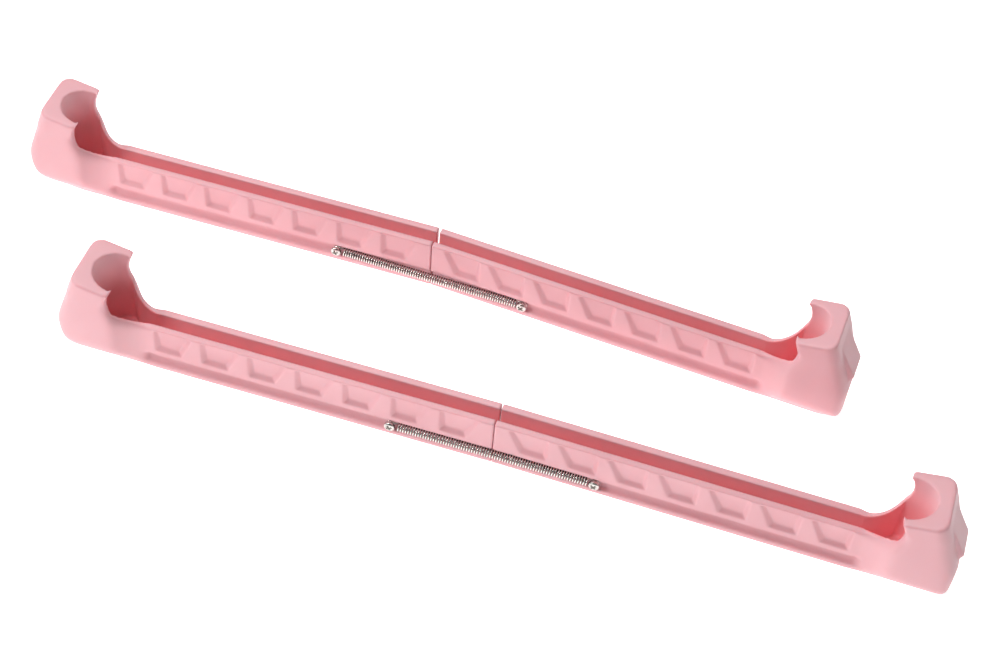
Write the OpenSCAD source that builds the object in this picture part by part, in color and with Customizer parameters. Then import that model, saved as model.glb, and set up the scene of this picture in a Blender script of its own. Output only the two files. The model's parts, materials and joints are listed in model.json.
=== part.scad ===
// A pair of adjustable blade guards for figure skates. Each guard is two mirrored plastic
// halves that meet at a butt joint and are pulled together by an extension spring in the
// groove on each side, hooked over a pan head screw at each end.
// Millimetres. X runs from the toe ends to the heel ends, Z is up, and the soles rest on Z = 0.

/* [Channel] */
// Width of the straight channel of a guard
channel_w = 10.2; // [10:0.2:11.4]
// Height of the straight channel
channel_h = 23; // [22:0.5:25]
// Width of the slot that takes the blade
slot_w = 4.8; // [4.4:0.2:5.2]
// Height of the slot's floor above the sole
slot_floor_z = 9.8; // [9.8:0.1:10.6]
// Radius along the two bottom edges of the channel
sole_edge_r = 3.8; // [3.4:0.2:4.2]

/* [Pockets] */
// Distance from one pocket to the next
pocket_pitch = 17.5; // [17:0.1:17.6]
// Pockets along each side of a half
pocket_count = 7; // [5:1:7]
// Depth of a pocket at its foot
pocket_depth = 1.6; // [1.4:0.1:2]
// Height of a pocket's foot above the sole
pocket_foot_z = 11.8; // [11.8:0.2:13.4]

/* [Cup] */
// Width of the cup at the outer end of a half
cup_w = 23.4; // [22.6:0.2:24.4]
// Height of the cup's lips
lip_z = 41.8; // [39:0.2:43]
// Radius of the cup's round mouth
mouth_r = 8.4; // [8:0.1:9]
// Length of a half from the joint to its outer end
half_len = 159; // [157:0.5:161]

/* [Springs and screws] */
// Distance from the joint to each screw
screw_x = 37; // [35:0.5:38]
// Outer diameter of a spring
spring_d = 3.4; // [3:0.1:3.5]
// Diameter of the spring wire
wire_d = 0.6; // [0.5:0.05:0.7]
// Diameter of a screw's head
screw_head_d = 3.9; // [3.4:0.1:4.2]

/* [Pair] */
// Distance between the two guards, centre to centre
guard_gap = 71.5; // [66:0.5:90]
// How far the rear guard lies towards the toe end of the front one
guard_offset = 46; // [36:1:50]
// Sideways bend at the joint of the rear guard, in degrees
rear_bend = 4.5; // [0:0.5:6]
// Sideways bend at the joint of the front guard, in degrees
front_bend = 1; // [0:0.5:3]

/* [Hidden] */
$fn = 96;

side_y = channel_w / 2;          // outer side of the channel
joint_gap = 0.2;                 // clearance between the two halves' end faces
cut = 60;                        // longer than anything that it cuts through
end_over = 2;                    // how far a cut starts outside a face

// groove along each side, in which the spring lies
groove_z = 7;
groove_r = 2.4;
groove_out = 0.1;                // its centre stands this far outside the side face
groove_end_x = half_len - 29.5;
groove_taper = 1.6;              // length and width lost by its tapered end
screw_hole_r = 1.05;
screw_hole_end_y = 0.5;

// pockets: a vertical edge towards the cup, a slanted edge towards the joint
pocket_top_z = channel_h - 0.6;
pocket_edge_x = 19.5;            // vertical edge of the first pocket
pocket_top_len = 14.7;
pocket_foot_len = 10;
pocket_edge_inset = 1.8;         // from the vertical edge to the floor where it is deepest
pocket_slant_inset = 2.0;        // from the slanted edge to the floor there
pocket_floor_rise = 1.2;         // from the foot up to the floor there
pocket_top_depth = 1.15;         // depth of the floor's upper edge
pocket_top_drop = 0.4;           // from the pocket's top down to that edge

// cup: side outline
mouth_x = half_len - 21.2;       // centre of the mouth
lip_x = mouth_x - 1.4;           // front tips of the lips
front_r = 12;                    // hollow front of the lips, from their tips down to the channel's top
front_x = lip_x - 9.9;           // its centre
mouth_lead = 0.6;                // the round of the mouth starts this far in front of its centre
mouth_tilt = 11;                 // the cup's top rises towards the outer end, in degrees
toe_bow_r = 22;                  // round corner between the sole and a toe end
heel_bow_r = 10.5;               // the same at a heel end
end_slope_z = 22;                // above this height the end face leans inwards
end_slope_run = 8.2;             // by this much at the top
end_x = half_len - end_slope_run;
end_z = lip_z + (end_x - lip_x) * tan(mouth_tilt);
plan_corner_r = 4;
top_corner_r = plan_corner_r + 0.3;  // the same corner where the end face leans inwards
corner_ease = 1.012;             // round corners are this much too large, so they cross their faces cleanly

// the cup's keel: its sides lean inwards from keel_side_z down to the sole
keel_foot_z = 3.6;               // height at which they meet the channel's side
keel_side_z = 11.6;
keel_r = 10;                     // round corner between the leaning and the upright part of a side

// flare between channel and cup: an arc that leaves the channel's side smoothly
flare_x = lip_x - 11;
flare_end_x = lip_x + 0.7;       // just past the lips' front below their tips
flare_rise = cup_w / 2 - side_y;
flare_r = (pow(flare_end_x - flare_x, 2) + pow(flare_rise, 2)) / (2 * flare_rise);

// the cavity's own flare, from the slot's side to the round of the mouth
cavity_x = flare_x - 2;
cavity_rise = mouth_r - 0.1 - slot_w / 2;
cavity_r = (pow(mouth_x - mouth_lead - cavity_x, 2) + pow(cavity_rise, 2)) / (2 * cavity_rise);

// wedge across a heel's outer end
lug_out = 0.5;                   // how far its tip stands out of the end
lug_tip_z = 27.5;
lug_top_drop = 0.5;              // its slope starts this far below the lips' height
lug_foot_z = 23.2;
lug_foot_in = 1.6;               // its underside runs back to this far inside the end
end_lug_y = 5.6;                 // half its width

// spring seats
spring_clear = 0.2;              // from the groove's bottom to the coils
spring_y = side_y + groove_out - groove_r + spring_clear + spring_d / 2;
ring_r = 1.45;                   // end loop of a spring, to the wire's centre line
coil_end = 2.6;                  // from a screw to the first coil
screw_r = 1;
screw_head_h = 1.6;
collar_l = 1.2;                  // the far spring's coils bunch up at the joint into a short collar
collar_over = 0.1;               // which is this much fatter
head_seat_y = spring_y + 0.4;
cross_w = 0.55;
cross_l = 2.3;
cross_depth = 0.7;

// the pair's shift that puts the middle of its outline over the origin
heel_reach = (half_len + lug_out) * cos(front_bend) + (end_lug_y + side_y) * sin(front_bend);
near_reach = side_y + (cup_w / 2 - plan_corner_r - side_y) * cos(front_bend)
    + (half_len - plan_corner_r) * sin(front_bend) + plan_corner_r;
shift_x = (half_len - heel_reach) / 2;
shift_y = (near_reach - cup_w / 2) / 2;
pink = [0.93, 0.65, 0.69];
steel = [0.72, 0.72, 0.7];

// ---- 2D outlines ----

// what a round corner of radius r leaves outside it, to be cut away; the outline turns by the angle
// turn there, and the round is eased a little, so that it crosses both flat faces at a slight angle
module corner_waste(r, turn = 90) {
    out = r + 1;
    difference() {
        polygon([[0, 0], [out, 0], [out, out * tan(turn / 2)], [out * cos(turn), out * sin(turn)]]);
        circle(corner_ease * r);
    }
}

// across the channel, with its rounded sole edges
module channel_section() {
    difference() {
        translate([-side_y, 0]) square([2 * side_y, cut]);
        for (side = [0, 1])
            mirror([side, 0])
                translate([side_y - sole_edge_r, sole_edge_r]) mirror([0, 1]) corner_waste(sole_edge_r);
    }
}

// across the cup: its sides lean in towards the channel below keel_side_z
module cup_section() {
    lean = atan((cup_w / 2 - side_y) / (keel_side_z - keel_foot_z));
    bottom_z = 1;
    bottom_y = side_y - tan(lean) * (keel_foot_z - bottom_z);
    difference() {
        polygon([
            [bottom_y, bottom_z], [cup_w / 2, keel_side_z], [cup_w / 2, cut],
            [-cup_w / 2, cut], [-cup_w / 2, keel_side_z], [-bottom_y, bottom_z]
        ]);
        for (side = [0, 1])
            mirror([side, 0])
                translate([cup_w / 2 - keel_r, keel_side_z + keel_r * tan(lean / 2)])
                    mirror([0, 1]) corner_waste(keel_r, lean);
    }
}

// side view of a half: X outwards, Z up
module half_profile(bow_r) {
    difference() {
        polygon([
            [joint_gap / 2, 0], [half_len, 0], [half_len, end_slope_z], [end_x, end_z],
            [front_x, lip_z - (lip_x - front_x) * tan(mouth_tilt)],
            [front_x, channel_h], [joint_gap / 2, channel_h]
        ]);
        translate([half_len - bow_r, bow_r]) mirror([0, 1]) corner_waste(bow_r);
        translate([front_x, channel_h + front_r]) circle(corner_ease * front_r);
    }
}

// view from above of the flare and the cup; it runs on past the outer end
module cup_plan() {
    difference() {
        translate([flare_x, -cup_w / 2]) square([half_len + end_over - flare_x, cup_w]);
        for (side = [-1, 1])
            translate([flare_x, side * (side_y + flare_r)]) circle(corner_ease * flare_r);
    }
}

// view from above of the blade slot and of the cavity that it opens into
module cavity_plan() {
    translate([-end_over, -slot_w / 2]) square([mouth_x + end_over, slot_w]);
    difference() {
        translate([cavity_x, -mouth_r]) square([mouth_x - cavity_x, 2 * mouth_r]);
        for (side = [-1, 1])
            translate([cavity_x, side * (slot_w / 2 + cavity_r)]) circle(corner_ease * cavity_r);
    }
    difference() {
        translate([mouth_x, 0]) circle(mouth_r);
        translate([mouth_x - 2 * mouth_r, -cup_w / 2]) square([2 * mouth_r - mouth_lead, cup_w]);
    }
}

// ---- pieces of a half, with the joint at X = 0 and the cup at +X ----

module along_x(from, to) {
    translate([from, 0, 0]) rotate([90, 0, 90]) linear_extrude(to - from) children();
}

// solid outline of a half: the channel runs on under the cup, and the side view trims both
module half_block(bow_r) {
    difference() {
        intersection() {
            rotate([90, 0, 0]) translate([0, 0, -cut / 2]) linear_extrude(cut) half_profile(bow_r);
            union() {
                along_x(-end_over, half_len + end_over) channel_section();
                intersection() {
                    linear_extrude(cut) cup_plan();
                    along_x(-end_over, half_len + 2 * end_over) cup_section();
                }
            }
        }
        for (side = [0, 1])
            mirror([0, side, 0]) end_corner_waste();
    }
}

// rounds the cup's outer corner at +Y, upright below end_slope_z and leaning with the end face above it
module end_corner_waste() {
    lean = atan(end_slope_run / (end_z - end_slope_z));
    translate([half_len - plan_corner_r, cup_w / 2 - plan_corner_r, -1])
        linear_extrude(end_slope_z + 4) corner_waste(plan_corner_r);
    translate([half_len, cup_w / 2 - top_corner_r, end_slope_z]) rotate([0, -lean, 0])
        translate([-top_corner_r, 0, -3]) linear_extrude(cut) corner_waste(top_corner_r);
}

// wedge across the outer end of a heel half
module end_lug() {
    rotate([90, 0, 0]) translate([0, 0, -end_lug_y]) linear_extrude(2 * end_lug_y)
        polygon([
            [end_x - 1, lip_z], [end_x + 1, lip_z - lug_top_drop], [half_len + lug_out, lug_tip_z],
            [half_len - lug_foot_in, lug_foot_z], [end_x, lug_foot_z]
        ]);
}

// groove at +Y, straight, with a tapered end that runs into the flare
module groove() {
    translate([-1, side_y + groove_out, groove_z]) rotate([0, 90, 0]) rotate_extrude()
        polygon([
            [0, 0], [groove_r, 0], [groove_r, groove_end_x - groove_taper + 1],
            [groove_r - groove_taper, groove_end_x + 1], [0, groove_end_x + 1]
        ]);
}

// one pocket, whose vertical edge is at X = 0, cut into the side at +Y; its floor gets deeper
// towards the foot, and each of its four walls slopes
module pocket() {
    out = 1.5;                   // carries the mouth on past the side face and the start of the flare
    top = pocket_top_z;
    foot = pocket_foot_z;
    lean = (pocket_top_len - pocket_foot_len) / (top - foot);
    mouth = [[-pocket_top_len, top], [0, top], [0, foot], [-pocket_foot_len, foot]];
    deep = [
        for (level = [[top - pocket_top_drop, pocket_top_depth], [foot + pocket_floor_rise, pocket_depth]])
            let (z = level[0], depth = level[1], share = depth / pocket_depth)
                [[-pocket_foot_len - lean * (z - foot) + share * pocket_slant_inset, side_y - depth, z],
                 [-share * pocket_edge_inset, side_y - depth, z]]
    ];
    polyhedron(
        points = [
            for (p = mouth) [p[0], side_y, p[1]],
            deep[0][0], deep[0][1], deep[1][1], deep[1][0],
            for (p = mouth) [p[0], side_y + out, p[1]]
        ],
        faces = [
            [11, 10, 9, 8],
            [8, 9, 1, 0], [9, 10, 2, 1], [10, 11, 3, 2], [11, 8, 0, 3],
            [5, 4, 0, 1], [5, 1, 2, 6], [7, 6, 2, 3], [4, 7, 3, 0],
            [4, 5, 6, 7]
        ]
    );
}

module half(is_heel) {
    color(pink) difference() {
        union() {
            half_block(is_heel ? heel_bow_r : toe_bow_r);
            if (is_heel) end_lug();
        }
        translate([0, 0, slot_floor_z]) linear_extrude(cut) cavity_plan();
        for (side = [0, 1])
            mirror([0, side, 0]) {
                groove();
                for (i = [0 : pocket_count - 1])
                    translate([pocket_edge_x + i * pocket_pitch, 0, 0]) pocket();
                translate([screw_x, screw_hole_end_y, groove_z]) rotate([-90, 0, 0])
                    cylinder(r = screw_hole_r, h = side_y);
            }
    }
}

// pan head screw with a cross recess, its axis along Y and its head at +Y
module screw() {
    color(steel) difference() {
        union() {
            translate([0, screw_hole_end_y + 0.1, 0]) rotate([-90, 0, 0])
                cylinder(r = screw_r, h = head_seat_y - screw_hole_end_y);
            translate([0, head_seat_y, 0]) rotate([-90, 0, 0]) pan_head();
        }
        translate([0, head_seat_y + screw_head_h, 0]) {
            cube([cross_w, 2 * cross_depth, cross_l], center = true);
            cube([cross_l, 2 * cross_depth, cross_w], center = true);
        }
    }
}

module pan_head() {
    rim_h = 0.7;
    cylinder(d = screw_head_d, h = rim_h);
    translate([0, 0, rim_h]) intersection() {
        dome_r = 3.2;
        cylinder(d = screw_head_d, h = screw_head_h - rim_h);
        translate([0, 0, screw_head_h - rim_h - dome_r]) sphere(dome_r);
    }
}

// half of a spring: its end loop lies round the screw at X = arm, and its coils run back to X = 0
module spring_arm(arm) {
    translate([arm, 0, 0]) rotate([90, 0, 0]) rotate_extrude()
        translate([ring_r, 0]) circle(d = wire_d, $fn = 24);
    translate([arm - coil_end, 0, 0]) rotate([0, 90, 0])
        cylinder(d = wire_d, h = coil_end - ring_r, $fn = 24);
    rotate([0, 90, 0]) cylinder(d = spring_d, h = arm - coil_end);
}

// ---- where things are in a guard: toe half at -X, heel half at +X ----

// turns the heel half's pieces about the joint's near edge
module bent(angle) {
    translate([0, -side_y, 0]) rotate([0, 0, -angle]) translate([0, side_y, 0]) children();
}

module toe_side() {
    mirror([1, 0, 0]) children();
}

// the near spring is taut, so it runs straight from screw to screw
module near_spring(angle) {
    chord = 2 * (screw_x * cos(angle / 2) + (side_y - spring_y) * sin(angle / 2));
    color(steel) translate([-screw_x, -spring_y, groove_z]) rotate([0, 0, -angle / 2])
        translate([chord / 2, 0, 0]) {
            spring_arm(chord / 2);
            toe_side() spring_arm(chord / 2);
        }
}

// the far spring keeps to its grooves and turns the corner at the joint
module far_spring(angle) {
    corner = (side_y + spring_y) * tan(angle / 2);
    inner = corner - collar_l / 4;
    color(steel) {
        translate([inner, spring_y, groove_z]) toe_side() spring_arm(screw_x + inner);
        translate([corner, spring_y, groove_z]) rotate([0, 90, -angle / 2])
            cylinder(d = spring_d + collar_over, h = collar_l, center = true);
        bent(angle) translate([-inner, spring_y, groove_z]) spring_arm(screw_x + inner);
    }
}

module near_screw() {
    translate([screw_x, 0, groove_z]) mirror([0, 1, 0]) screw();
}

module far_screw() {
    translate([screw_x, 0, groove_z]) screw();
}

module in_front() {
    translate([shift_x + guard_offset / 2, shift_y - guard_gap / 2, 0]) children();
}

module in_rear() {
    translate([shift_x - guard_offset / 2, shift_y + guard_gap / 2, 0]) children();
}

// ---- nodes ----

module front_toe_half() { in_front() toe_side() half(false); }
module front_heel_half() { in_front() bent(front_bend) half(true); }
module front_near_spring() { in_front() near_spring(front_bend); }
module front_far_spring() { in_front() far_spring(front_bend); }
module front_near_toe_screw() { in_front() toe_side() near_screw(); }
module front_near_heel_screw() { in_front() bent(front_bend) near_screw(); }
module front_far_toe_screw() { in_front() toe_side() far_screw(); }
module front_far_heel_screw() { in_front() bent(front_bend) far_screw(); }

module rear_toe_half() { in_rear() toe_side() half(false); }
module rear_heel_half() { in_rear() bent(rear_bend) half(true); }
module rear_near_spring() { in_rear() near_spring(rear_bend); }
module rear_far_spring() { in_rear() far_spring(rear_bend); }
module rear_near_toe_screw() { in_rear() toe_side() near_screw(); }
module rear_near_heel_screw() { in_rear() bent(rear_bend) near_screw(); }
module rear_far_toe_screw() { in_rear() toe_side() far_screw(); }
module rear_far_heel_screw() { in_rear() bent(rear_bend) far_screw(); }

front_toe_half();
front_heel_half();
front_near_spring();
front_far_spring();
front_near_toe_screw();
front_near_heel_screw();
front_far_toe_screw();
front_far_heel_screw();
rear_toe_half();
rear_heel_half();
rear_near_spring();
rear_far_spring();
rear_near_toe_screw();
rear_near_heel_screw();
rear_far_toe_screw();
rear_far_heel_screw();
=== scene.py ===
"""Looks of a pair of plastic blade guards for figure skates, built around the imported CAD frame."""

import json
import math

import bmesh
import bpy
from mathutils import Matrix, Vector


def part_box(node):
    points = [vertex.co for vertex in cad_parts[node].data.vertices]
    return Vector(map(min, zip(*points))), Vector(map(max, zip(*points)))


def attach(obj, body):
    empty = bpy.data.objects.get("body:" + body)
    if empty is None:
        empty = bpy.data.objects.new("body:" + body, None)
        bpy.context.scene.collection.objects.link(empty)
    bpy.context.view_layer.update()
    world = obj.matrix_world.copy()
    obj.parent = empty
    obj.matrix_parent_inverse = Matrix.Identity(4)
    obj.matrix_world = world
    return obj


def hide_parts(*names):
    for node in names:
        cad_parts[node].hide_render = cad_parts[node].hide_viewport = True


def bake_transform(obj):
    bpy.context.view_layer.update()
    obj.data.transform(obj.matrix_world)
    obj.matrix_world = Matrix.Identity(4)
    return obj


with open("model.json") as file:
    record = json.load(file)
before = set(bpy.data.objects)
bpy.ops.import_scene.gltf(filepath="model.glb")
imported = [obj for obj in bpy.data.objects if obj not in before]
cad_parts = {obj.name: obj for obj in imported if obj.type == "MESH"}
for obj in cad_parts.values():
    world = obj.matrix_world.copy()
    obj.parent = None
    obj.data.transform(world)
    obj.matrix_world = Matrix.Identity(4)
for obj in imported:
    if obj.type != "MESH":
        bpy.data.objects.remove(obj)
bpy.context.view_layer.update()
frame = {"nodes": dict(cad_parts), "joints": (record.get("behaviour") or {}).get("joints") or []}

MM = 0.001
NODES = frame["nodes"]
JOINTS = {joint["name"]: joint for joint in frame["joints"]}
GUARDS = ("front", "rear")
ENDS = ("toe", "heel")
SIDES = {"near": -1, "far": 1}   # direction along Y

# plastic halves, in a half's own axes: X from the joint outwards, Z up, Y 0 on the near side face
SIDE_Y = 5.1 * MM        # from the near side face to the middle of the half
CHANNEL_TOP_Z = 23 * MM
SLOT_HALF_W = 2.4 * MM
CAVITY_X = 123.4 * MM    # the slot flares from here to the mouth, along an arc
CAVITY_R = 19.0 * MM     # radius of the arc
FLOOR_Z = 9.4 * MM       # just below the floor of the slot and the cavity
MOUTH_X = 137.8 * MM     # middle of the cup's mouth
MOUTH_R = 8.4 * MM
LIP_Z = 42 * MM          # top of the cup

# how the halves are softened
HALF_VOXEL = 0.36 * MM
SMOOTH_FACTOR = 0.5      # of the way to the middle of its neighbours that a point moves in a round
WELD_DISTANCE = 0.001 * MM
EDGE_SMOOTHING = 1       # rounds everywhere
CUP_SMOOTHING = 280      # rounds on the outside of the cup, whose edges are much rounder
CUP_START_X = 124 * MM   # this extra smoothing fades in from here
CUP_FULL_X = 134 * MM
WALL_INNER = 1.0 * MM    # it also fades in through the wall, from this far outside the cavity
WALL_FADE = 1.2 * MM     # over this distance
CUP_TOP_SHARE = 0.12     # how much of it the rim gets
CUP_INNER_SHARE = 0.03   # and the cavity with its lips
CUP_RIM_H = 4 * MM
LUG_X = 150.5 * MM       # the wedge on the outer end keeps its edges
LUG_HALF_W = 6.4 * MM
LUG_FOOT_Z = 21 * MM
LUG_SHARE = 0.06         # of the cup's smoothing

# where painted bounce light makes the plastic's colour fuller and brighter: inside the slot and the cup's
# cavity
INNER_SKIN = 0.25 * MM   # up to this far outside the walls of slot and cavity
SLOT_FADE = 1.2 * MM     # it fades in from the channel's top over this height
CUP_FADE = 16 * MM       # and over this much more in the cup

# springs
WIRE_D = 0.50 * MM
SPRING_D = 3.4 * MM
COIL_COUNT = 74
COIL_STEPS = 20          # path points in one coil
WIRE_SIDES = 8
COIL_END = 2.6 * MM      # from a screw's axis to the last coil
LOOP_R = 1.45 * MM       # end loop, to the wire's middle
JOINT_REACH = 4 * MM     # how far from the joint the coils turn from one half's direction to the other's

# screws
HEAD_D = 3.9 * MM
HEAD_H = 1.6 * MM
RIM_H = 0.75 * MM        # straight side of the head, below its dome
SHANK_R = 1.0 * MM
SCREW_VOXEL = 0.07 * MM
SCREW_SMOOTHING = 3
CROSS_TURN = {("near", "toe"): 25, ("near", "heel"): 50, ("far", "toe"): 10, ("far", "heel"): 70}  # degrees


# ---------------------------------------------------------------- places taken from the frame

def joint_place(guard):
    """(point on the joint's near edge at z 0, bend of the heel half about Z at rest)."""
    bend, pull = JOINTS[f"{guard}_bend"], JOINTS[f"{guard}_heel_pull"]
    x, y, _ = bend["pos_m"]
    return Vector((x, y, 0)), math.atan2(pull["axis"][1], pull["axis"][0])


def half_matrix(guard, end):
    """Takes the half's own axes (origin on the joint's near edge, X to the outer end) to the row frame."""
    place, turn = joint_place(guard)
    if end == "toe":
        return Matrix.Translation(place) @ Matrix.Diagonal((-1, 1, 1, 1))
    return Matrix.Translation(place) @ Matrix.Rotation(turn, 4, "Z")


def screw_axis(guard, side, end):
    """(middle of the screw, direction along its axis to the outside of the guard)."""
    low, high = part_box(f"{guard}_{side}_{end}_screw")
    _, turn = joint_place(guard)
    turn = turn if end == "heel" else 0
    out = Matrix.Rotation(turn, 3, "Z") @ Vector((0, SIDES[side], 0))
    return (low + high) / 2, out


# ---------------------------------------------------------------- tools

def smoothstep(t):
    t = min(max(t, 0.0), 1.0)
    return t * t * (3 - 2 * t)


def new_object(name, mesh):
    obj = bpy.data.objects.new(name, mesh)
    bpy.context.scene.collection.objects.link(obj)
    return obj


def applied(obj, *modifiers):
    """Adds each (type, settings) modifier to obj and leaves the result as its plain mesh."""
    for kind, settings in modifiers:
        modifier = obj.modifiers.new(kind.lower(), kind)
        for key, value in settings.items():
            setattr(modifier, key, value)
    bpy.context.view_layer.update()
    depsgraph = bpy.context.evaluated_depsgraph_get()
    mesh = bpy.data.meshes.new_from_object(obj.evaluated_get(depsgraph))
    obj.modifiers.clear()
    old, obj.data = obj.data, mesh
    bpy.data.meshes.remove(old)
    return obj


def shade_smooth(obj):
    obj.data.polygons.foreach_set("use_smooth", [True] * len(obj.data.polygons))


def finish_piece(obj, material, body, node):
    """Gives a visible piece its material and smooth shading, hides the CAD node it replaces and puts it on
    the body it rides on, if one is given.
    """
    obj.data.materials.clear()
    obj.data.materials.append(material)
    shade_smooth(obj)
    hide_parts(node)
    if body:
        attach(obj, body)
    return obj


# ---------------------------------------------------------------- materials

def node_material(name):
    material = bpy.data.materials.new(name)
    material.use_nodes = True
    tree = material.node_tree
    return material, tree.nodes, tree.links, tree.nodes["Principled BSDF"]


def noise(nodes, links, coords, scale, detail=3.0, roughness=0.5, stretch=(1, 1, 1)):
    mapping = nodes.new("ShaderNodeMapping")
    mapping.inputs["Scale"].default_value = stretch
    links.new(coords, mapping.inputs["Vector"])
    texture = nodes.new("ShaderNodeTexNoise")
    texture.inputs["Scale"].default_value = scale
    texture.inputs["Detail"].default_value = detail
    texture.inputs["Roughness"].default_value = roughness
    links.new(mapping.outputs["Vector"], texture.inputs["Vector"])
    return texture.outputs["Fac"]


def ramp(nodes, links, factor, stops):
    element = nodes.new("ShaderNodeValToRGB")
    bars = element.color_ramp.elements
    while len(bars) < len(stops):
        bars.new(0.5)
    for bar, (place, colour) in zip(bars, stops):
        bar.position = place
        bar.color = (*colour, 1)
    links.new(factor, element.inputs["Fac"])
    return element.outputs["Color"]


def scaled(nodes, links, value, low, high):
    element = nodes.new("ShaderNodeMapRange")
    element.inputs["To Min"].default_value = low
    element.inputs["To Max"].default_value = high
    links.new(value, element.inputs["Value"])
    return element.outputs["Result"]


def blended(nodes, links, base, over, blend_type, factor=None):
    element = nodes.new("ShaderNodeMixRGB")
    element.blend_type = blend_type
    element.inputs["Fac"].default_value = 1
    if factor:
        links.new(factor, element.inputs["Fac"])
    links.new(base, element.inputs["Color1"])
    links.new(over, element.inputs["Color2"])
    return element.outputs["Color"]


def bumps(nodes, links, shader, layers):
    """Stacks (height, strength, distance) bump layers on the shader's normal."""
    normal = None
    for height, strength, distance in layers:
        bump = nodes.new("ShaderNodeBump")
        bump.inputs["Strength"].default_value = strength
        bump.inputs["Distance"].default_value = distance
        links.new(height, bump.inputs["Height"])
        if normal:
            links.new(normal, bump.inputs["Normal"])
        normal = bump.outputs["Normal"]
    links.new(normal, shader.inputs["Normal"])


def pink_plastic():
    material, nodes, links, shader = node_material("pink_plastic")
    coords = nodes.new("ShaderNodeTexCoord").outputs["Object"]
    clouds = noise(nodes, links, coords, 35, detail=2)
    flow = noise(nodes, links, coords, 60, detail=4, stretch=(0.25, 1, 1))
    grain = noise(nodes, links, coords, 2200, detail=3, roughness=0.6)
    scuffs = noise(nodes, links, coords, 420, detail=5, roughness=0.65, stretch=(0.2, 1, 1))
    outer = ramp(nodes, links, clouds, [
        (0.30, (0.775, 0.400, 0.435)), (0.55, (0.80, 0.425, 0.460)), (0.75, (0.82, 0.445, 0.480))])
    # painted bounce light: a brighter, fuller pink for light bounced round inside the slot and cavity and
    # shining through their thin walls
    inner = ramp(nodes, links, clouds, [(0.30, (0.98, 0.42, 0.45)), (0.75, (1.0, 0.46, 0.49))])
    depth = nodes.new("ShaderNodeAttribute")
    depth.attribute_name = "inner"
    links.new(blended(nodes, links, outer, inner, "MIX", depth.outputs["Fac"]), shader.inputs["Base Color"])
    links.new(scaled(nodes, links, scuffs, 0.36, 0.50), shader.inputs["Roughness"])
    shader.inputs["Subsurface Weight"].default_value = 0.25
    shader.inputs["Subsurface Radius"].default_value = (1.0, 0.28, 0.22)
    shader.inputs["Subsurface Scale"].default_value = 1.4 * MM
    shader.inputs["IOR"].default_value = 1.46
    bumps(nodes, links, shader, [(flow, 0.12, 0.3 * MM), (grain, 0.12, 0.04 * MM)])
    return material


def spring_wire():
    material, nodes, links, shader = node_material("spring_wire")
    coords = nodes.new("ShaderNodeTexCoord").outputs["Object"]
    tone = noise(nodes, links, coords, 900, detail=4)
    drawn = noise(nodes, links, coords, 5200, detail=2)
    bright = ramp(nodes, links, tone, [(0.3, (0.74, 0.71, 0.66)), (0.7, (0.95, 0.93, 0.88))])
    # painted shade: the wire goes near black on its side towards the coil's middle, for the shadow between
    # the coils
    outer = nodes.new("ShaderNodeAttribute")
    outer.attribute_name = "outer"
    painted_coil_shade = ramp(nodes, links, outer.outputs["Fac"], [(0.55, (0.03, 0.027, 0.024)), (0.92, (1, 1, 1))])
    links.new(blended(nodes, links, bright, painted_coil_shade, "MULTIPLY"), shader.inputs["Base Color"])
    links.new(scaled(nodes, links, drawn, 0.16, 0.32), shader.inputs["Roughness"])
    shader.inputs["Metallic"].default_value = 1.0
    bumps(nodes, links, shader, [(drawn, 0.15, 0.02 * MM)])
    return material


def screw_steel():
    material, nodes, links, shader = node_material("screw_steel")
    coords = nodes.new("ShaderNodeTexCoord").outputs["Object"]
    tone = noise(nodes, links, coords, 700, detail=4)
    scratches = noise(nodes, links, coords, 3000, detail=4, stretch=(1, 1, 0.15))
    colour = ramp(nodes, links, tone, [(0.3, (0.52, 0.50, 0.47)), (0.7, (0.70, 0.68, 0.65))])
    links.new(colour, shader.inputs["Base Color"])
    links.new(scaled(nodes, links, scratches, 0.16, 0.34), shader.inputs["Roughness"])
    shader.inputs["Metallic"].default_value = 1.0
    bumps(nodes, links, shader, [(scratches, 0.12, 0.02 * MM)])
    return material


def floor_paper():
    material, nodes, links, shader = node_material("floor_paper")
    coords = nodes.new("ShaderNodeTexCoord").outputs["Object"]
    tone = noise(nodes, links, coords, 6, detail=2)
    colour = ramp(nodes, links, tone, [(0.3, (0.94, 0.94, 0.94)), (0.7, (0.96, 0.96, 0.96))])
    links.new(colour, shader.inputs["Base Color"])
    shader.inputs["Roughness"].default_value = 0.9
    shader.inputs["Emission Color"].default_value = (1, 1, 1, 1)
    shader.inputs["Emission Strength"].default_value = 0.8
    return material


# ---------------------------------------------------------------- plastic halves

def past_cavity(point):
    """How far a point of a half lies outside the upright walls of the slot and of the cup's cavity."""
    x, y = point.x, abs(point.y - SIDE_Y)
    if x > MOUTH_X:
        return math.hypot(x - MOUTH_X, y) - MOUTH_R
    along = max(x - CAVITY_X, 0)
    return y - (SLOT_HALF_W + CAVITY_R - math.sqrt(CAVITY_R ** 2 - along ** 2))


def cup_share(point):
    """How much of the cup's smoothing a point gets: most outside on the cup, least in its mouth."""
    along = smoothstep((point.x - CUP_START_X) / (CUP_FULL_X - CUP_START_X))
    if point.z < FLOOR_Z:
        return along
    below_rim = smoothstep((LIP_Z - CUP_RIM_H - point.z) / CUP_RIM_H)
    outer = smoothstep((past_cavity(point) - WALL_INNER) / WALL_FADE)
    on_lug = point.x > LUG_X and abs(point.y - SIDE_Y) < LUG_HALF_W and point.z > LUG_FOOT_Z
    outer *= LUG_SHARE if on_lug else 1
    return along * max(CUP_INNER_SHARE, outer * (CUP_TOP_SHARE + (1 - CUP_TOP_SHARE) * below_rim))


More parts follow.
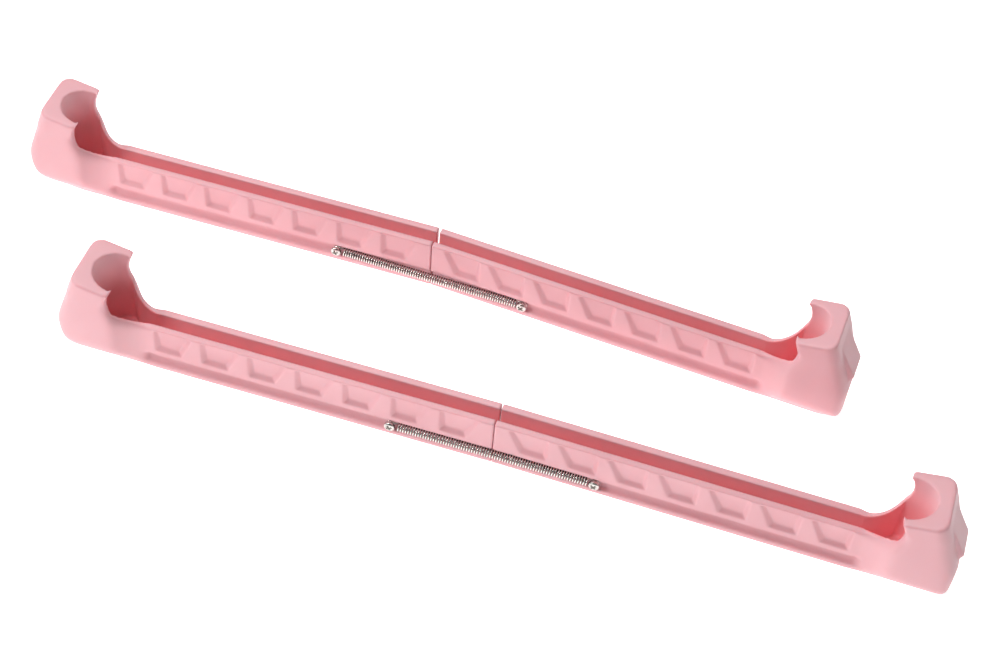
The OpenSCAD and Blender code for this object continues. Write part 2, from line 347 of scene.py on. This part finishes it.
def inner_share(point):
    """1 deep inside the slot or the cup's cavity, where the plastic's colour is painted fuller and brighter
    as bounced light, 0 outside.
    """
    cup = smoothstep((point.x - CAVITY_X) / (MOUTH_X - CAVITY_X))
    top = CHANNEL_TOP_Z + cup * (LIP_Z - CHANNEL_TOP_Z)
    inside = point.z > FLOOR_Z and past_cavity(point) < INNER_SKIN
    return inside * smoothstep((top - point.z) / (SLOT_FADE + CUP_FADE * cup))


def soft_half(guard, end):
    """The CAD half with the rounded edges of a moulding: remeshed along its own axes, then smoothed."""
    node = f"{guard}_{end}_half"
    to_row = half_matrix(guard, end)
    mesh = NODES[node].data.copy()
    mesh.transform(to_row.inverted())
    if to_row.determinant() < 0:
        mesh.flip_normals()
    obj = new_object(f"{guard}_{end}_shell", mesh)
    voxel = HALF_VOXEL * 1
    applied(obj,
            ("WELD", {"merge_threshold": WELD_DISTANCE}),
            ("REMESH", {"mode": "VOXEL", "voxel_size": voxel}),
            ("SMOOTH", {"factor": SMOOTH_FACTOR, "iterations": EDGE_SMOOTHING}))
    group = obj.vertex_groups.new(name="cup")
    for vertex in obj.data.vertices:
        if vertex.co.x > CUP_START_X:
            group.add([vertex.index], cup_share(vertex.co), "REPLACE")
    applied(obj, ("SMOOTH", {"factor": SMOOTH_FACTOR, "iterations": CUP_SMOOTHING, "vertex_group": "cup"}))
    obj.vertex_groups.clear()
    # where the material paints bounce light as a fuller, brighter pink
    inner = obj.data.attributes.new("inner", "FLOAT", "POINT")
    inner.data.foreach_set("value", [inner_share(vertex.co) for vertex in obj.data.vertices])
    obj.data.transform(to_row)
    if to_row.determinant() < 0:
        obj.data.flip_normals()
    return obj


# ---------------------------------------------------------------- springs

def coil_path(length):
    """Centre line of the wire of a straight spring along X, middle at 0, with an end loop round each screw.
    Each point comes with the middle of the coil or loop that it belongs to."""
    coil_r = (SPRING_D - WIRE_D) / 2
    half = length / 2 - COIL_END
    steps = COIL_COUNT * COIL_STEPS
    coils = []
    for i in range(steps + 1):
        angle = 2 * math.pi * i / COIL_STEPS
        x = -half + 2 * half * i / steps
        coils.append((Vector((x, coil_r * math.sin(angle), coil_r * math.cos(angle))), Vector((x, 0, 0))))
    lead_x = half + COIL_END / 2   # halfway from the last coil to the screw
    right = [(Vector((lead_x, 0, coil_r)), Vector((lead_x, 0, 0)))]
    screw = Vector((length / 2, 0, 0))
    loop_angles = range(90, -165, -15)   # from above the screw round its outer side and back below
    for degrees in loop_angles:
        angle = math.radians(degrees)
        x = length / 2 + LOOP_R * math.cos(angle)
        right.append((Vector((x, 0, LOOP_R * math.sin(angle))), screw))
    left = [tuple(Vector((-p.x, p.y, p.z)) for p in pair) for pair in reversed(right)]
    return left + coils + right


def tube(name, path):
    """A closed tube of wire along a path of (point, middle of its coil), with a frame that doesn't twist.
    Its attribute "outer" is 0 on the side towards the middle of the coil and 1 on the far side, and it sets
    the wire's painted shade."""
    mesh = bpy.data.meshes.new(name)
    count = len(path)
    tangents = []
    for i in range(count):
        tangents.append((path[min(i + 1, count - 1)][0] - path[max(i - 1, 0)][0]).normalized())
    across = tangents[0].orthogonal().normalized()
    vertices, faces, outer = [], [], []
    for (point, middle), tangent in zip(path, tangents):
        across = (across - tangent * across.dot(tangent)).normalized()
        up = tangent.cross(across)
        for k in range(WIRE_SIDES):
            angle = 2 * math.pi * k / WIRE_SIDES
            vertex = point + (across * math.cos(angle) + up * math.sin(angle)) * WIRE_D / 2
            vertices.append(vertex)
            outer.append(0.5 + ((vertex - middle).length - (point - middle).length) / WIRE_D)
    for i in range(count - 1):
        for k in range(WIRE_SIDES):
            a, b = i * WIRE_SIDES + k, i * WIRE_SIDES + (k + 1) % WIRE_SIDES
            faces.append((a, b, b + WIRE_SIDES, a + WIRE_SIDES))
    faces.append(tuple(reversed(range(WIRE_SIDES))))
    last = (count - 1) * WIRE_SIDES
    faces.append(tuple(range(last, last + WIRE_SIDES)))
    mesh.from_pydata(vertices, [], faces)
    mesh.update()
    mesh.attributes.new("outer", "FLOAT", "POINT").data.foreach_set("value", outer)
    return new_object(name, mesh)


def spring_path(guard, side):
    """The path of the wire in the row frame at rest."""
    place, turn = joint_place(guard)
    toe_screw, _ = screw_axis(guard, side, "toe")
    reach = place.x - toe_screw.x
    z = toe_screw.z
    line = spring_line(guard, side) - place.y
    if side == "far":
        # keeps to the grooves and turns with the heel half near the joint
        def to_row(p):
            share = smoothstep((p.x + JOINT_REACH) / (2 * JOINT_REACH))
            return place + Matrix.Rotation(turn * share, 3, "Z") @ Vector((p.x, line + p.y, z + p.z))
        length = 2 * reach
    else:
        # taut, so straight from screw to screw
        start = place + Vector((-reach, line, z))
        end = place + Matrix.Rotation(turn, 3, "Z") @ Vector((reach, line, z))
        along = end - start
        heading = math.atan2(along.y, along.x)
        chord = Matrix.Translation((start + end) / 2) @ Matrix.Rotation(heading, 4, "Z")
        length = along.length
        to_row = chord.__matmul__
    return [(to_row(point), to_row(middle)) for point, middle in coil_path(length)]


def spring_line(guard, side):
    """Y of the spring's axis beside the toe half: the middle of the CAD spring's ring at the toe screw."""
    vertices = NODES[f"{guard}_{side}_spring"].data.vertices
    toe_x = min(v.co.x for v in vertices)
    ring = [v.co.y for v in vertices if v.co.x < toe_x + WIRE_D]
    return (min(ring) + max(ring)) / 2


def spring(guard, side, material):
    """The wire in three pieces, toe, joint and heel, each a tube along its part of the path at rest."""
    place, _ = joint_place(guard)
    path = spring_path(guard, side)
    points = [point for point, _ in path]
    first = next(i for i, p in enumerate(points) if p.x > place.x - JOINT_REACH)
    last = next(i for i, p in enumerate(points) if p.x > place.x + JOINT_REACH)
    loop = COIL_END + LOOP_R
    coils = [p for p in points if (p - points[0]).length > loop and (p - points[-1]).length > loop]
    pieces = (
        ("toe", path[:first + 1], "toe", "near_coil", coils[0], points[first]),
        ("joint", path[first:last + 1], "near_coil", "far_coil", points[first], points[last]),
        ("heel", path[last:], "far_coil", "heel", points[last], coils[-1]),
    )
    node = f"{guard}_{side}_spring"
    for part, section, before, after, start, end in pieces:
        piece = tube(f"{node}_{part}", section)
        finish_piece(piece, material, None, node)
        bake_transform(piece)


# ---------------------------------------------------------------- screws

def lathe(name, profile, segments=48):
    """Closed solid turned about Z from (radius, z) points that start and end on the axis."""
    mesh = bpy.data.meshes.new(name)
    shape = bmesh.new()
    rings = []
    for radius, z in profile:
        if radius == 0:
            rings.append([shape.verts.new((0, 0, z))])
        else:
            rings.append([shape.verts.new((radius * math.cos(2 * math.pi * k / segments),
                                           radius * math.sin(2 * math.pi * k / segments), z))
                          for k in range(segments)])
    for low, high in zip(rings, rings[1:]):
        for k in range(segments):
            n = (k + 1) % segments
            corners = [low[k % len(low)], low[n % len(low)], high[n % len(high)], high[k % len(high)]]
            shape.faces.new(list(dict.fromkeys(corners)))
    bmesh.ops.recalc_face_normals(shape, faces=shape.faces)
    shape.to_mesh(mesh)
    shape.free()
    return new_object(name, mesh)


def cross_recess(name, top):
    """Tapered cross, wide at the top and narrow at the bottom, to cut out of a screw's head."""
    mesh = bpy.data.meshes.new(name)
    shape = bmesh.new()
    depth, over = 1.1 * MM, 0.3 * MM
    for turn in (0, math.pi / 2):
        rings = []
        # height, half length and half width of the bar's two ends
        for z, length, width in ((top + over, 1.45 * MM, 0.42 * MM), (top - depth, 0.7 * MM, 0.26 * MM)):
            ring = []
            for x, y in ((-length, -width), (length, -width), (length, width), (-length, width)):
                ring.append(shape.verts.new((x * math.cos(turn) - y * math.sin(turn),
                                             x * math.sin(turn) + y * math.cos(turn), z)))
            rings.append(ring)
        up, down = rings
        shape.faces.new(up)
        shape.faces.new(list(reversed(down)))
        for k in range(4):
            n = (k + 1) % 4
            shape.faces.new((up[n], up[k], down[k], down[n]))
    shape.to_mesh(mesh)
    shape.free()
    return new_object(name, mesh)


def screw_profile(length):
    """(radius, z) outline of a pan head screw of this length, from its tip up to the top of its head."""
    head_r = HEAD_D / 2
    edge = 0.1 * MM          # bevel under the head
    tip_h = 0.5 * MM
    shank = length - HEAD_H
    tip_r = 0.6 * SHANK_R
    profile = [(0, 0), (tip_r, 0), (SHANK_R, tip_h), (SHANK_R, shank),
               (head_r - edge, shank), (head_r, shank + edge), (head_r, shank + RIM_H)]
    steps = 8
    for k in range(1, steps + 1):
        angle = math.radians(90 * k / steps)
        radius = head_r * math.cos(angle) if k < steps else 0
        profile.append((radius, shank + RIM_H + (HEAD_H - RIM_H) * math.sin(angle)))
    return profile


def screw(guard, side, end, material):
    """Pan head screw with a cross recess."""
    node = f"{guard}_{side}_{end}_screw"
    low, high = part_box(node)
    middle, out = screw_axis(guard, side, end)
    length = high.y - low.y
    body = lathe(f"{node}_turned", screw_profile(length))
    cutter = cross_recess(f"{node}_cutter", length)
    applied(body, ("BOOLEAN", {"object": cutter, "operation": "DIFFERENCE", "use_self": True}),
            ("REMESH", {"mode": "VOXEL", "voxel_size": SCREW_VOXEL}),
            ("SMOOTH", {"factor": SMOOTH_FACTOR, "iterations": SCREW_SMOOTHING}))
    bpy.data.objects.remove(cutter)
    tail = middle - out * length / 2
    turn = Vector((0, 0, 1)).rotation_difference(out).to_matrix().to_4x4()
    spin = Matrix.Rotation(math.radians(CROSS_TURN[(side, end)]), 4, "Z")
    body.data.transform(Matrix.Translation(tail) @ turn @ spin)
    return finish_piece(body, material, f"{guard}_{end}", node)


# ---------------------------------------------------------------- floor, light and camera

def floor():
    mesh = bpy.data.meshes.new("floor")
    half = 4.0
    corners = [(-half, -half, 0), (half, -half, 0), (half, half, 0), (-half, half, 0)]
    mesh.from_pydata(corners, [], [(0, 1, 2, 3)])
    obj = new_object("floor", mesh)
    obj.location.z = -0.2 * MM   # just clear of the soles
    obj.data.materials.append(floor_paper())


def soft_light(name, place, size, power, target=(0, 0, 0.02)):
    lamp = bpy.data.lights.new(name, "AREA")
    lamp.shape = "RECTANGLE"
    lamp.size, lamp.size_y = size
    lamp.energy = power
    obj = bpy.data.objects.new(name, lamp)
    obj.location = place
    obj.rotation_euler = (Vector(target) - Vector(place)).to_track_quat("-Z", "Y").to_euler()
    bpy.context.scene.collection.objects.link(obj)


def lights():
    soft_light("key", (-0.75, -0.55, 0.75), (0.18, 0.18), 4.4)
    soft_light("back", (-0.30, 0.50, 1.2), (0.8, 0.5), 9.5)
    soft_light("top", (-0.45, -0.20, 1.3), (0.5, 0.5), 4.5)
    soft_light("fill", (0.9, -0.9, 0.6), (0.9, 0.7), 0.5)
    world = bpy.data.worlds.new("studio")
    bpy.context.scene.world = world
    world.use_nodes = True
    background = world.node_tree.nodes["Background"]
    background.inputs["Color"].default_value = (1, 1, 1, 1)
    background.inputs["Strength"].default_value = 0.10
    bpy.context.scene.view_settings.view_transform = "Standard"


def camera():
    azimuth, elevation, roll = math.radians(12.53), math.radians(49.4), math.radians(5.65)
    distance = 0.6386
    target = Vector((0.01216, 0.00257, 0.02))
    level = math.cos(elevation)
    forward = Vector((-math.sin(azimuth) * level, math.cos(azimuth) * level, -math.sin(elevation)))
    lens = bpy.data.cameras.new("camera")
    lens.sensor_width = 36
    lens.lens = 64.8
    obj = bpy.data.objects.new("camera", lens)
    place = Matrix.Translation(target - forward * distance)
    look = forward.to_track_quat("-Z", "Y").to_matrix().to_4x4()
    obj.matrix_world = place @ look @ Matrix.Rotation(roll, 4, "Z")
    bpy.context.scene.collection.objects.link(obj)
    bpy.context.scene.camera = obj


# ---------------------------------------------------------------- the whole

plastic, wire, steel = pink_plastic(), spring_wire(), screw_steel()
for guard in GUARDS:
    for end in ENDS:
        body = f"{guard}_{end}"
        finish_piece(soft_half(guard, end), plastic, body, f"{body}_half")
    for side in SIDES:
        spring(guard, side, wire)
        for end in ENDS:
            screw(guard, side, end, steel)
floor()
lights()
camera()
